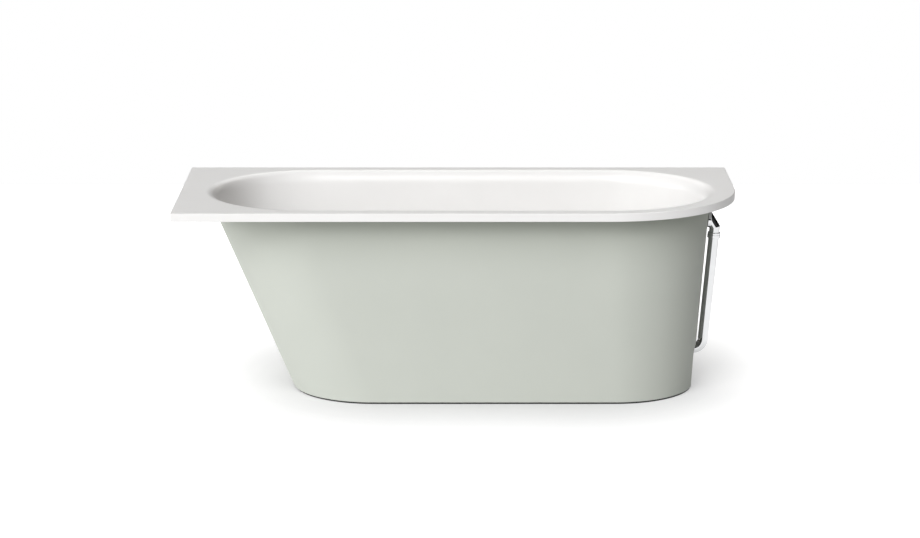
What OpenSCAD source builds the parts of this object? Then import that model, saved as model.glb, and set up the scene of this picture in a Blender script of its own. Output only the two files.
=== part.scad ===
// Built-in corner bath: rim slab and basin in one casting, a tapered outer
// skirt, an exposed overflow pipe at the right end, a push-to-open waste,
// a low trap and a levelled support frame.
// +X is the right (foot) end, -Y the free front, +Z up. The origin is on the
// floor under the middle of the rim. Millimetres.

/* [Rim] */
// Overall length along the back wall
bath_l = 1700; // [1650:10:1750]
// Overall width from the back wall to the front edge
bath_w = 750; // [730:10:780]
// Height of the rim's top above the floor
bath_h = 600; // [590:5:620]
// Thickness of the rim slab
rim_t = 25; // [20:1:28]
// Radius of the rounded front right corner in plan
corner_r = 400; // [300:10:420]
// Radius of the three square corners in plan
square_r = 3; // [2:1:6]
// Bevel along the slab's top outer edge
edge_bevel = 1.5; // [1:0.5:3]

/* [Basin] */
// Flat rim strip at the left end
strip_left = 75; // [65:5:85]
// Flat rim strip at the right end
strip_right = 60; // [50:5:70]
// Flat rim strip along the front and the back
strip_side = 40; // [35:1:45]
// Radius that rolls the rim over into the basin
edge_r = 40; // [25:5:45]
// Height of the basin floor
floor_z = 170; // [165:1:180]
// Radius between the basin walls and its floor
floor_r = 90; // [60:5:110]
// Thickness of the casting in the basin
wall_t = 8; // [6:0.5:9]
// How far the left end leans in by floor level
run_left = 291; // [260:1:300]
// How far the right end leans in by floor level
run_right = 88; // [75:1:95]
// How far the front and back lean in by floor level
run_side = 52; // [48:1:60]
// Corner radius of the basin at floor level
base_r = 230; // [180:5:240]

/* [Skirt] */
// Distance from the basin's surface to the skirt's outer skin
wall_total = 20; // [20:1:24]
// Thickness of the skirt
skirt_t = 8; // [5:0.5:8]
// Height of the dark seal strip along the floor
seal_h = 5; // [4:1:8]
// How far the seal strip sits back from the skirt
seal_in = 3; // [2:1:5]
// Width of the arched cut-out in the right end
arch_w = 230; // [200:10:240]
// Height of the arched cut-out above the floor
arch_h = 130; // [125:1:145]
// Corner radius of both cut-outs
arch_r = 25; // [15:1:30]
// Width of the service cut-out in the back
rear_w = 240; // [200:10:260]
// Height of the service cut-out in the back
rear_h = 110; // [90:5:120]

/* [Overflow pipe] */
// Height of the overflow's axis on the right wall
overflow_z = 507; // [495:1:515]
// Outside diameter of the overflow tube
pipe_d = 32; // [30:1:32]
// Wall of the overflow tube
pipe_t = 1.5; // [1:0.1:2]
// Distance of the tube's axis from the skirt
pipe_off = 25.5; // [24:0.5:30]
// Bend radius of the tube's foot, on its centre line
bend_r = 30; // [28:1:40]
// Height of the tube's level run into the waste
inlet_z = 100; // [98:1:104]

/* [Waste] */
// Place of the drain along the bath
drain_x = 500; // [480:5:510]
// Travel of the plug from closed to open
plug_travel = 8; // [5:1:10]

/* [Support] */
// Place of the left cross rail
rail_left_x = -350; // [-380:5:-300]
// Place of the right cross rail
rail_right_x = 300; // [250:5:320]
// Sideways place of each foot
foot_y = 190; // [160:5:195]
// Thickness of the board under the basin floor
board_t = 18; // [15:1:20]

/* [Detail] */
// Points along each quarter corner
arc_n = 14; // [8:1:18]

/* [Hidden] */
$fn = 64;

white = [0.94, 0.94, 0.93];
sage = [0.75, 0.77, 0.73];
chromed = [0.82, 0.83, 0.84];
plastic = [0.86, 0.87, 0.88];
steel = [0.62, 0.64, 0.66];
dark = [0.20, 0.20, 0.20];

// ---- plan outlines: four corner arcs of arc_n + 1 points, anticlockwise from the front right ----
N = 4 * (arc_n + 1);
function corner(i) = floor(i / (arc_n + 1));
function plan_a(i) = -90 + 90 * corner(i) + 90 * (i % (arc_n + 1)) / arc_n;
NRM = [for (i = [0:N - 1]) [cos(plan_a(i)), sin(plan_a(i))]];
function centre(q, xl, xr, hw, r) =
    q == 0 ? [xr - r[0], -hw + r[0]] :
    q == 1 ? [xr - r[1], hw - r[1]] :
    q == 2 ? [xl + r[2], hw - r[2]] : [xl + r[3], -hw + r[3]];
function outline(xl, xr, hw, r) = [for (i = [0:N - 1]) centre(corner(i), xl, xr, hw, r) + r[corner(i)] * NRM[i]];

open_l = -bath_l / 2 + strip_left;
open_x = bath_l / 2 - strip_right;
open_hw = bath_w / 2 - strip_side;
open_r = open_hw - 4;
TOP = outline(open_l, open_x, open_hw, [open_r, open_r, open_r, open_r]);
BASE = outline(open_l + run_left, open_x - run_right, open_hw - run_side, [base_r, base_r, base_r, base_r]);
function slab_line(inset) = outline(-bath_l / 2 + inset, bath_l / 2 - inset, bath_w / 2 - inset,
    [corner_r - inset, square_r, square_r, square_r]);

// lean of the wall at each point, so that it runs tangent into the rolled rim
roll_z = bath_h - edge_r;
function lean_of(run) = acos(edge_r / sqrt(run * run + roll_z * roll_z)) - atan2(roll_z, run);
LEAN = [for (i = [0:N - 1]) lean_of((TOP[i] - BASE[i]) * NRM[i])];
function roll_end_z(i) = roll_z + edge_r * sin(LEAN[i]);
ROLL = [for (i = [0:N - 1]) TOP[i] - NRM[i] * edge_r * cos(LEAN[i])];
// plan point on the basin wall's line at height z, moved out by d square to the wall
function wall_at(i, z, d) = ROLL[i] + (BASE[i] - ROLL[i]) * (roll_end_z(i) - z) / roll_end_z(i) + NRM[i] * d / cos(LEAN[i]);
function with_z(p, z) = [p[0], p[1], z];

function roll_ring(f) = [for (i = [0:N - 1]) let (a = f * (90 - LEAN[i]))
    with_z(TOP[i] - NRM[i] * edge_r * sin(a), roll_z + edge_r * cos(a))];
function foot_z(i) = floor_z + floor_r * (1 - sin(LEAN[i]));
function mid_ring(f, d) = [for (i = [0:N - 1]) let (z = roll_end_z(i) + (foot_z(i) - roll_end_z(i)) * f)
    with_z(wall_at(i, z, d), z)];
function floor_ring(f, d) = [for (i = [0:N - 1]) let (a = LEAN[i] + f * (90 - LEAN[i]), r = floor_r + d)
    with_z(wall_at(i, foot_z(i), 0) + NRM[i] * (r * cos(a) - floor_r * cos(LEAN[i])), floor_z + floor_r - r * sin(a))];
function skin_ring(z, d) = [for (i = [0:N - 1]) with_z(wall_at(i, z, d), z)];
function slab_ring(inset, z) = [for (p = slab_line(inset)) with_z(p, z)];

function band(k0, k1) = [for (i = [0:N - 1]) each [
    [k0 * N + i, k1 * N + i, k1 * N + (i + 1) % N],
    [k0 * N + i, k1 * N + (i + 1) % N, k0 * N + (i + 1) % N]]];
function flat(rings) = [for (r = rings) each r];

module capped_loft(rings) {
    m = len(rings);
    polyhedron(points = flat(rings), faces = concat(
        [[for (i = [0:N - 1]) i]],
        [for (k = [0:m - 2]) each band(k, k + 1)],
        [[for (i = [N - 1:-1:0]) (m - 1) * N + i]]));
}
module ring_loft(rings) {
    m = len(rings);
    polyhedron(points = flat(rings), faces = [for (k = [0:m - 1]) each band(k, (k + 1) % m)]);
}

// ---- frame on the right wall: x out of the skirt, z up along it ----
lean_right = lean_of(run_right);
function skin_x(z) = open_x - edge_r * cos(lean_right) - (roll_z + edge_r * sin(lean_right) - z) * tan(lean_right)
    + wall_total / cos(lean_right);
wall_x = skin_x(overflow_z);
seat_in = -wall_total + 0.5;
seat_out = -1.5;
module on_wall() { translate([wall_x, 0, overflow_z]) rotate([0, lean_right, 0]) children(); }
module xcyl(r, x0, x1) { translate([x0, 0, 0]) rotate([0, 90, 0]) cylinder(r = r, h = x1 - x0); }
module xring(ro, ri, x0, x1) { difference() { xcyl(ro, x0, x1); xcyl(ri, x0 - 1, x1 + 1); } }
module zcyl(r, z0, z1) { translate([0, 0, z0]) cylinder(r = r, h = z1 - z0); }
module zring(ro, ri, z0, z1) { difference() { zcyl(ro, z0, z1); zcyl(ri, z0 - 1, z1 + 1); } }
module oct_z(across, z0, z1) { rotate([0, 0, 22.5]) translate([0, 0, z0]) cylinder(d = across / cos(22.5), h = z1 - z0, $fn = 8); }
module hex_z(across, z0, z1) { translate([0, 0, z0]) cylinder(d = across / cos(30), h = z1 - z0, $fn = 6); }

rim_z = bath_h - rim_t;
under_z = floor_z - wall_t;
board_z = under_z - board_t;
rail_h = 25;
rail_z = board_z - rail_h;
stud_r = 5;
stud_top = under_z - 4;
RAILS = [rail_left_x, rail_right_x];
FEET = [[rail_left_x, -foot_y], [rail_right_x, -foot_y], [rail_left_x, foot_y], [rail_right_x, foot_y]];
RAIL_SCREW_Y = [-120, -50, 50, 120];
BACK_X = [-600, 600];
bracket_w = 60;
bracket_leg = 40;
bracket_drop = 63;
bracket_t = 3;
screw_pair = 18;

// ---- tub ----
module tub_body() {
    color(white) difference() {
        capped_loft(concat(
            [for (k = [5:-1:0]) floor_ring(k / 5, wall_t)],
            [for (f = [0.62, 0.32, 0.06]) mid_ring(f, wall_t)],
            [skin_ring(rim_z, wall_t), slab_ring(0, rim_z), slab_ring(0, bath_h - edge_bevel), slab_ring(edge_bevel, bath_h)],
            [for (k = [0:5]) roll_ring(k / 5)],
            [for (f = [0.06, 0.32, 0.62]) mid_ring(f, 0)],
            [for (k = [0:5]) floor_ring(k / 5, 0)]));
        translate([drain_x, 0, 0]) {
            zcyl(25, under_z - 1, floor_z + 1);
            zcyl(37, floor_z - 3, floor_z + 5);
        }
        on_wall() {
            xcyl(19, -wall_total - 6, -wall_total + wall_t + 2);
            xcyl(29.5, -wall_total - 25, seat_in);
        }
        for (p = bracket_screw_places()) translate([p[0], p[1], 0]) zcyl(2.05, rim_z - 1, rim_z + 14);
    }
}
function bracket_screw_places() = concat(
    [for (x = BACK_X) for (s = [-1, 1]) [x + s * screw_pair, bath_w / 2 - 23]],
    [for (s = [-1, 1]) [-bath_l / 2 + 23, s * screw_pair]]);

// ---- skirt ----
module arch(w, h, r) {
    union() {
        translate([-w / 2, -10]) square([w, h - r + 10]);
        translate([-w / 2 + r, -10]) square([w - 2 * r, h + 10]);
        for (s = [-1, 1]) translate([s * (w / 2 - r), h - r]) circle(r);
    }
}
module outer_skirt() {
    LEVELS = [0, 0.26, 0.52, 0.79, 0.955, 1];
    color(sage) difference() {
        ring_loft(concat(
            [for (f = LEVELS) skin_ring(seal_h + (rim_z - seal_h) * f, wall_total)],
            [for (k = [5:-1:0]) let (f = LEVELS[k]) skin_ring(seal_h + (rim_z - seal_h) * f, wall_total - skirt_t)]));
        translate([open_x - run_right - 100, 0, 0]) rotate([90, 0, 90]) linear_extrude(height = 200) arch(arch_w, arch_h, arch_r);
        translate([drain_x, bath_w / 2 + 50, 0]) rotate([90, 0, 0]) linear_extrude(height = 200) arch(rear_w, rear_h, arch_r);
        on_wall() {
            xcyl(19, -skirt_t - 3, 3);
            xcyl(25, seat_out, 20);
        }
    }
}
module base_seal() {
    color(dark) difference() {
        ring_loft([skin_ring(0, wall_total - seal_in), skin_ring(seal_h, wall_total - seal_in),
            skin_ring(seal_h, wall_total - seal_in - 8), skin_ring(0, wall_total - seal_in - 8)]);
        translate([open_x - run_right - 100, -arch_w / 2, -1]) cube([200, arch_w, seal_h + 2]);
        translate([drain_x - rear_w / 2, bath_w / 2 - 150, -1]) cube([rear_w, 200, seal_h + 2]);
    }
}
lean_side = lean_of(run_side);
module bond_pads() {
    gap = wall_total - wall_t - skirt_t;
    pad_z = 380;
    y = open_hw - run_side + pad_z * tan(lean_side) + (wall_t + gap / 2) / cos(lean_side);
    color([0.45, 0.45, 0.46]) for (x = [-130, 110, 350]) for (s = [-1, 1])
        translate([x, s * y, pad_z]) rotate([-s * lean_side, 0, 0]) cube([60, gap, 60], center = true);
}

// ---- support ----
module rounded_plate(x0, x1, hw, r) {
    union() {
        translate([x0 + r, -hw]) square([x1 - x0 - 2 * r, 2 * hw]);
        translate([x0, -hw + r]) square([x1 - x0, 2 * hw - 2 * r]);
        for (x = [x0 + r, x1 - r]) for (s = [-1, 1]) translate([x, s * (hw - r)]) circle(r);
    }
}
module floor_board() {
    color([0.78, 0.66, 0.48]) difference() {
        translate([0, 0, board_z]) linear_extrude(height = board_t) rounded_plate(rail_left_x - 90, rail_right_x + 90, foot_y + 25, 40);
        for (f = FEET) translate([f[0], f[1], 0]) zcyl(7, board_z - 1, under_z + 1);
        for (x = RAILS) for (y = RAIL_SCREW_Y) translate([x, y, 0]) zcyl(2.05, board_z - 1, board_z + 14);
    }
}
module rail(x0) {
    color(steel) difference() {
        translate([x0 - 20, -foot_y - 35, rail_z]) cube([40, 2 * foot_y + 70, rail_h]);
        translate([x0 - 18, -foot_y - 36, rail_z - 1]) cube([36, 2 * foot_y + 72, rail_h - 1]);
        for (s = [-1, 1]) translate([x0, s * foot_y, 0]) zcyl(5.5, board_z - 4, board_z + 1);
        for (y = RAIL_SCREW_Y) translate([x0, y, 0]) zcyl(2.3, board_z - 4, board_z + 1);
    }
}
module cross_rail_left() { rail(rail_left_x); }
module cross_rail_right() { rail(rail_right_x); }
module screw_up(head_z, tip_z) {
    zcyl(4.5, head_z - 2.5, head_z);
    zcyl(2, head_z - 0.5, tip_z);
}
module rail_screws() {
    color(steel) for (x = RAILS) for (y = RAIL_SCREW_Y) translate([x, y, 0]) union() { screw_up(board_z - 2, board_z + 13); }
}
module weld_nuts() {
    color(steel) for (f = FEET) translate([f[0], f[1], 0]) difference() {
        hex_z(17, board_z - 14, board_z - 2);
        zcyl(stud_r + 0.05, board_z - 15, board_z);
    }
}
module jam_nuts() {
    color(steel) for (f = FEET) translate([f[0], f[1], 0]) difference() {
        hex_z(17, board_z - 22, board_z - 14);
        zcyl(stud_r + 0.05, board_z - 23, board_z - 13);
    }
}
pad_h = 16;
module foot_stud(k) {
    color(steel) translate([FEET[k][0], FEET[k][1], 0]) union() {
        zcyl(stud_r, 6, stud_top - 1);
        translate([0, 0, stud_top - 1]) cylinder(r1 = stud_r, r2 = stud_r - 1, h = 1);
    }
}
module foot_pad(k) {
    color(dark) translate([FEET[k][0], FEET[k][1], 0]) difference() {
        union() {
            zcyl(28, 0, 5);
            translate([0, 0, 5]) cylinder(r1 = 28, r2 = 12, h = pad_h - 5);
        }
        zcyl(stud_r, 6, pad_h + 1);
    }
}
module foot_stud_1() { foot_stud(0); }
module foot_stud_2() { foot_stud(1); }
module foot_stud_3() { foot_stud(2); }
module foot_stud_4() { foot_stud(3); }
module foot_pad_1() { foot_pad(0); }
module foot_pad_2() { foot_pad(1); }
module foot_pad_3() { foot_pad(2); }
module foot_pad_4() { foot_pad(3); }

// ---- wall brackets: one leg under the rim, one leg flat on the wall at y = 0 of its own frame ----
module bracket() {
    color(steel) difference() {
        union() {
            translate([-bracket_w / 2, -bracket_t, -bracket_drop]) cube([bracket_w, bracket_t, bracket_drop]);
            translate([-bracket_w / 2, -bracket_leg, -bracket_t]) cube([bracket_w, bracket_leg, bracket_t]);
        }
        translate([0, 1, -45]) rotate([90, 0, 0]) cylinder(r = 3.5, h = bracket_t + 2);
        for (s = [-1, 1]) translate([s * screw_pair, -23, 0]) zcyl(2.3, -bracket_t - 1, 1);
    }
}
module wall_bracket_back_left() { translate([BACK_X[0], bath_w / 2, rim_z]) bracket(); }
module wall_bracket_back_right() { translate([BACK_X[1], bath_w / 2, rim_z]) bracket(); }
module wall_bracket_left_end() { translate([-bath_l / 2, 0, rim_z]) rotate([0, 0, 90]) bracket(); }
module bracket_screws() {
    color(steel) for (p = bracket_screw_places()) translate([p[0], p[1], 0]) union() { screw_up(rim_z - bracket_t, rim_z + 13); }
}

// ---- waste ----
plate_z = floor_z + 0.5;
module at_drain() { translate([drain_x, 0, 0]) children(); }
module drain_flange() {
    color(chromed) at_drain() difference() {
        union() {
            zcyl(36, plate_z - 2.5, plate_z - 1);
            translate([0, 0, plate_z - 1]) cylinder(r1 = 36, r2 = 35, h = 1);
            zcyl(24, 122, plate_z - 2);

        }
        difference() {
            union() {
                zcyl(21, 121, plate_z + 1);
                translate([0, 0, plate_z - 4]) cylinder(r1 = 21, r2 = 26, h = 5);
            }
            difference() {
                union() {
                    zcyl(10, 140, 148);
                    for (a = [0, 120, 240]) rotate([0, 0, a]) translate([0, -2, 142]) cube([23, 4, 6]);
                }
                zcyl(7, 139, 149);
            }
        }
    }
}
module drain_gasket_upper() { color(dark) at_drain() zring(35, 25, floor_z - 3, floor_z - 2); }
module drain_gasket_lower() { color(dark) at_drain() zring(38, 24.5, under_z - 3.5, under_z); }
body_top = under_z - 3.5;
module drain_body() {
    color(plastic) at_drain() difference() {
        union() {
            zcyl(38, body_top - 4, body_top);
            zcyl(31, 88, body_top - 3);
            zcyl(24, 66, 90);
            translate([0, 0, inlet_z]) xcyl(21, 10, 78);
        }
        zcyl(24.1, 134, body_top + 1);
        zcyl(28, 92, 135);
        zcyl(20, 65, 93);
        translate([0, 0, inlet_z]) xcyl(pipe_d / 2 + 0.2, 5, 79);
    }
}
plug_low = plate_z + 0.3;
module plug_cap() {
    color(chromed) at_drain() union() {
        zcyl(32, plug_low, plug_low + 2);
        intersection() {
            translate([0, 0, plug_low + 5.5 - 148]) sphere(r = 148, $fn = 128);
            zcyl(32, plug_low + 1.9, plug_low + 6);
        }
        zcyl(17, plug_low - 10, plug_low + 1);
        zcyl(19.5, plug_low - 10, plug_low - 8);
    }
}
module plug_seal() { color(dark) at_drain() zring(20.6, 17, plug_low - 8, plug_low - 4); }
stem_low = 131;
module plug_stem() { color(chromed) at_drain() zcyl(4, stem_low, plug_low - 10); }
module plug_cartridge() {
    color([0.78, 0.66, 0.38]) at_drain() difference() {
        zcyl(7, 117, 151);
        zcyl(4.05, 120, 152);
    }
}
spring_turns = 5;
spring_steps = 12;
spring_sides = 6;
wire_r = 0.5;
coil_r = 2.9;
module plug_spring() {
    m = spring_turns * spring_steps;
    z0 = 120 + wire_r + 0.1;
    z1 = stem_low - wire_r - 0.1;
    pts = [for (k = [0:m]) let (a = 360 * k / spring_steps, z = z0 + (z1 - z0) * k / m)
        for (j = [0:spring_sides - 1]) let (b = 360 * j / spring_sides, r = coil_r + wire_r * cos(b))
            [r * cos(a), r * sin(a), z + wire_r * sin(b)]];
    s = spring_sides;
    color(steel) at_drain() polyhedron(points = pts, faces = concat(
        [[for (j = [0:s - 1]) j]],
        [for (k = [0:m - 1]) for (j = [0:s - 1]) each [
            [k * s + j, (k + 1) * s + j, (k + 1) * s + (j + 1) % s],
            [k * s + j, (k + 1) * s + (j + 1) % s, k * s + (j + 1) % s]]],
        [[for (j = [s - 1:-1:0]) m * s + j]]));
}

// ---- trap ----
outlet_z = 33;
washer_z = 63;
module swivel_nut() {
    color(plastic) at_drain() difference() {
        oct_z(60, 55.6, 78);
        zcyl(24.1, 59.6, 79);
        zcyl(20.1, 54, 61);
    }
}
module trap_washer() { color(dark) at_drain() zring(23.8, 18, washer_z, 66); }
module trap_dip_tube() {
    color(plastic) at_drain() difference() {
        union() {
            zcyl(23.5, washer_z - 3.2, washer_z - 0.2);
            zcyl(19.7, 22, washer_z - 1);
        }
        zcyl(17.5, 21, washer_z + 1);
    }
}
socket_y0 = 118;
socket_y1 = 148;
module ycyl(r, y0, y1) { translate([0, y1, 0]) rotate([90, 0, 0]) cylinder(r = r, h = y1 - y0); }
module trap_body() {
    color(plastic) at_drain() difference() {
        union() {
            zcyl(46, 10, 52);
            translate([0, 0, outlet_z]) {
                ycyl(18.5, 30, socket_y0);
                ycyl(24, socket_y0 - 3, socket_y1);
            }
        }
        difference() {
            zcyl(43, 13, 49);
            translate([-45, 27, 12]) cube([90, 3, 32]);
        }
        zcyl(19.7, 48, 53);
        translate([0, 0, outlet_z]) {
            ycyl(15.5, 36, socket_y0 + 1);
            ycyl(20.2, socket_y0, socket_y1 + 1);
        }
    }
}
module outlet_seal() { color(dark) at_drain() translate([0, socket_y1, outlet_z]) rotate([-90, 0, 0]) zring(23.5, 21, 0, 3); }
module outlet_nut() {
    color(plastic) at_drain() translate([0, socket_y1, outlet_z]) rotate([-90, 0, 0]) difference() {
        oct_z(55, -16, 6);
        zcyl(24.1, -17, 3);
        zcyl(20.5, 2, 7);
    }
}
module inlet_seal() { color(dark) at_drain() translate([0, 0, inlet_z]) xring(20.8, pipe_d / 2, 78, 82); }
module inlet_nut() {
    color(chromed) at_drain() translate([0, 0, inlet_z]) difference() {
        xcyl(26, 62, 87);
        xcyl(21.1, 61, 82);
        xcyl(pipe_d / 2 + 0.2, 81, 88);
    }
}

// ---- overflow ----
pipe_r = pipe_d / 2;
module overflow_spigot() {
    color([0.78, 0.66, 0.38]) on_wall() difference() {
        union() {
            xcyl(27, seat_in - 4, seat_in - 2);
            xcyl(18, seat_in - 3, 9.5);
        }
        difference() {
            xcyl(15, seat_in - 5, 15);
            difference() {
                union() {
                    xcyl(5, seat_in - 2, seat_in + 6);
                    translate([seat_in - 1, -16, -2]) cube([5, 32, 4]);
                }
                xcyl(2.5, seat_in - 3, seat_in + 7);
            }
        }
    }
}
module overflow_gasket_inner() { color(dark) on_wall() xring(27, 18.2, seat_in - 2, seat_in); }
module overflow_gasket_outer() { color(dark) on_wall() xring(22, 18.2, seat_out, 1); }
module overflow_rosette() {
    color(chromed) on_wall() difference() {
        union() {
            xcyl(33, seat_in - 12, seat_in - 9);
            xring(33, 31, seat_in - 10, seat_in - 4);
            xcyl(5, seat_in - 10, seat_in - 2);
        }
        xcyl(2.55, seat_in - 13, seat_in - 1);
    }
}
module rosette_screw() {
    color(chromed) on_wall() union() {
        xcyl(5, seat_in - 14, seat_in - 12);
        xcyl(2.5, seat_in - 13, seat_in + 4);
    }
}

mitre_top = [12.6, 23.2];
mitre_low = [pipe_off + pipe_r, -16.6];
mitre_a = atan2(mitre_top[1] - mitre_low[1], mitre_low[0] - mitre_top[0]);
leg_low = -45.5;
joint_t = pipe_off;
joint_h = mitre_top[1] - pipe_r * cos(mitre_a) - (pipe_off - mitre_top[0] + pipe_r * sin(mitre_a)) * tan(mitre_a);
module at_joint(a) { translate([joint_t, 0, joint_h]) rotate([0, a, 0]) children(); }
// the half in front of the mitre between the sloped piece and the leg
module above_mitre(over = 0) { at_joint(135 + mitre_a / 2) translate([-80, -80, over - 160]) cube([160, 160, 160]); }
// the sloped piece is a hair thinner than the leg and ends just inside it
module elbow_passage() {
    intersection() {
        at_joint(90 + mitre_a) zcyl(11.9, -60, 20);
        above_mitre(0.05);
        translate([9.9, -30, -60]) cube([60, 60, 120]);
    }
    difference() {
        translate([pipe_off, 0, 0]) zcyl(12, -61, -8);
        above_mitre();
    }
}
module overflow_elbow() {
    color(chromed) on_wall() difference() {
        union() {
            xcyl(24.5, 1, 12);
            intersection() {
                at_joint(90 + mitre_a) zcyl(pipe_r - 0.1, -60, 20);
                above_mitre(0.05);
                union() {
                    xcyl(24.5, 6, 60);
                    translate([6, -30, -60]) cube([60, 60, 60]);
                }
            }
            difference() {
                translate([pipe_off, 0, 0]) zcyl(pipe_r, leg_low, -8);
                above_mitre();
            }
            translate([pipe_off, 0, 0]) zcyl(pipe_r + 3.5, -44, -38);
            translate([pipe_off, 0, 0]) zcyl(pipe_r - pipe_t - 0.2, -60, leg_low + 1);
        }
        xcyl(18.05, 0, 10);
        elbow_passage();
    }
}
module elbow_seal() { color(dark) on_wall() translate([pipe_off, 0, 0]) zring(pipe_r, pipe_r - pipe_t, leg_low - 2, leg_low); }
module elbow_collar() { color(chromed) on_wall() translate([pipe_off, 0, 0]) zring(pipe_r + 4, pipe_r + 0.05, leg_low - 10.5, leg_low); }

// length along the wall to where the tube's line meets the level run
drop_to_corner = (overflow_z - pipe_off * sin(lean_right) - inlet_z) / cos(lean_right);
turn = 90 - lean_right;
tangent = bend_r * tan(turn / 2);
corner_x = wall_x + pipe_off * cos(lean_right) - drop_to_corner * sin(lean_right);
// the bend is a hair thinner than the straight runs and starts a little inside each of them
bend_in = 1.5;
module tube_solid(r, extra) {
    on_wall() {
        translate([pipe_off, 0, 0]) zcyl(r, -drop_to_corner + tangent, leg_low - 2 + extra);
        translate([pipe_off - bend_r, 0, -drop_to_corner + tangent]) rotate([-90, 0, 0]) rotate([0, 0, -bend_in])
            rotate_extrude(angle = turn + 2 * bend_in) translate([bend_r, 0]) circle(r - 0.05);
    }
    translate([0, 0, inlet_z]) xcyl(r, drain_x + 32 - extra, corner_x - tangent);
}
module overflow_tube() {
    color(chromed) difference() {
        union() { tube_solid(pipe_r, 0); }
        union() { tube_solid(pipe_r - pipe_t, 2); }
    }
}

tub_body();
outer_skirt();
base_seal();
bond_pads();
floor_board();
cross_rail_left();
cross_rail_right();
rail_screws();
weld_nuts();
jam_nuts();
foot_stud_1();
foot_stud_2();
foot_stud_3();
foot_stud_4();
foot_pad_1();
foot_pad_2();
foot_pad_3();
foot_pad_4();
wall_bracket_back_left();
wall_bracket_back_right();
wall_bracket_left_end();
bracket_screws();
drain_flange();
drain_gasket_upper();
drain_gasket_lower();
drain_body();
plug_cap();
plug_seal();
plug_stem();
plug_cartridge();
plug_spring();
overflow_rosette();
rosette_screw();
overflow_spigot();
overflow_gasket_inner();
overflow_gasket_outer();
overflow_elbow();
elbow_seal();
elbow_collar();
overflow_tube();
inlet_seal();
inlet_nut();
swivel_nut();
trap_washer();
trap_dip_tube();
trap_body();
outlet_seal();
outlet_nut();
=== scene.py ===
# Looks of the built-in corner bath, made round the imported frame. Metres, +Z up, +X the overflow end, -Y the free front.
import math

import bmesh
import bpy
import numpy as np
from mathutils import Matrix, Vector


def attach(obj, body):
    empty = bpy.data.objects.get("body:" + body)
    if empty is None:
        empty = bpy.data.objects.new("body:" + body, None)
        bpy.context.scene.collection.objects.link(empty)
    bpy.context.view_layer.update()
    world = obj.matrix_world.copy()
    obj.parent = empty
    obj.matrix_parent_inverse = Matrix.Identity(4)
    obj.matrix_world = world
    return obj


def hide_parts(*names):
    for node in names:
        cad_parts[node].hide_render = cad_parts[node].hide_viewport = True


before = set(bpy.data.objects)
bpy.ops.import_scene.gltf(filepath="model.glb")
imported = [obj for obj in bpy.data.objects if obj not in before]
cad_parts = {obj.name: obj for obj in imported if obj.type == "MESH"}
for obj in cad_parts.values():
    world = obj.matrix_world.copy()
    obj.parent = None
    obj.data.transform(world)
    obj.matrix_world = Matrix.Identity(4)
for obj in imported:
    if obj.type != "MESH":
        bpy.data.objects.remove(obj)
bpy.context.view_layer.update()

SC = bpy.context.scene
COL = SC.collection

# ------------------------------------------------------------------ sizes
BATH_L, BATH_W, BATH_H = 1.700, 0.750, 0.600
RIM_T = 0.025
CORNER_R, SQUARE_R = 0.400, 0.003
STRIP_LEFT, STRIP_RIGHT, STRIP_SIDE = 0.075, 0.060, 0.040
EDGE_R = 0.040
FLOOR_Z, FLOOR_R = 0.170, 0.090
WALL_T, WALL_TOTAL, SKIRT_T = 0.008, 0.020, 0.008
RUN_LEFT, RUN_RIGHT, RUN_SIDE, BASE_R = 0.291, 0.088, 0.052, 0.230
SEAL_H, SEAL_IN = 0.005, 0.003
ARCH_W, ARCH_H, ARCH_R = 0.230, 0.130, 0.025
REAR_W, REAR_H = 0.240, 0.110
OVERFLOW_Z = 0.507
PIPE_R, PIPE_T, PIPE_OFF, BEND_R = 0.016, 0.0015, 0.0255, 0.030
INLET_Z, DRAIN_X = 0.100, 0.500
RIM_Z = BATH_H - RIM_T
UNDER_Z = FLOOR_Z - WALL_T

ARC = 44  # steps along each quarter corner
STRAIGHT = (0.012, 0.2, 0.4, 0.6, 0.8, 0.988)  # columns along each straight

# ------------------------------------------------------------------ plan outlines
Q = np.repeat(np.arange(4), ARC + 1)
ANG = np.radians(-90 + 90 * Q + 90 * np.tile(np.arange(ARC + 1), 4) / ARC)
NRM = np.stack([np.cos(ANG), np.sin(ANG)], 1)


def outline(xl, xr, hw, r):
    r = np.array(r, float)
    c = np.array([[xr - r[0], -hw + r[0]], [xr - r[1], hw - r[1]], [xl + r[2], hw - r[2]], [xl + r[3], -hw + r[3]]])
    return c[Q] + r[Q][:, None] * NRM


OPEN_L, OPEN_X, OPEN_HW = -BATH_L / 2 + STRIP_LEFT, BATH_L / 2 - STRIP_RIGHT, BATH_W / 2 - STRIP_SIDE
TOP = outline(OPEN_L, OPEN_X, OPEN_HW, [OPEN_HW - 0.004] * 4)
BASE = outline(OPEN_L + RUN_LEFT, OPEN_X - RUN_RIGHT, OPEN_HW - RUN_SIDE, [BASE_R] * 4)
ROLL_Z = BATH_H - EDGE_R


def lean_of(run):
    return np.arccos(EDGE_R / np.sqrt(run * run + ROLL_Z * ROLL_Z)) - np.arctan2(ROLL_Z, run)


LEAN = lean_of(((TOP - BASE) * NRM).sum(1))
ROLL_END = ROLL_Z + EDGE_R * np.sin(LEAN)
ROLL = TOP - NRM * (EDGE_R * np.cos(LEAN))[:, None]
FOOT_Z = FLOOR_Z + FLOOR_R * (1 - np.sin(LEAN))


def wall_at(z, d):
    z = np.zeros(len(ANG)) + z
    return ROLL + (BASE - ROLL) * ((ROLL_END - z) / ROLL_END)[:, None] + NRM * (d / np.cos(LEAN))[:, None]


def with_z(p, z):
    return np.column_stack([p, np.zeros(len(p)) + z])


def expand(ring):
    """Adds the columns along the four straights."""
    out = []
    n = ARC + 1
    for q in range(4):
        part = ring[q * n:(q + 1) * n]
        nxt = ring[((q + 1) % 4) * n]
        out.append(part)
        out.append(np.array([part[-1] * (1 - s) + nxt * s for s in STRAIGHT]))
    return np.concatenate(out)


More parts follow.
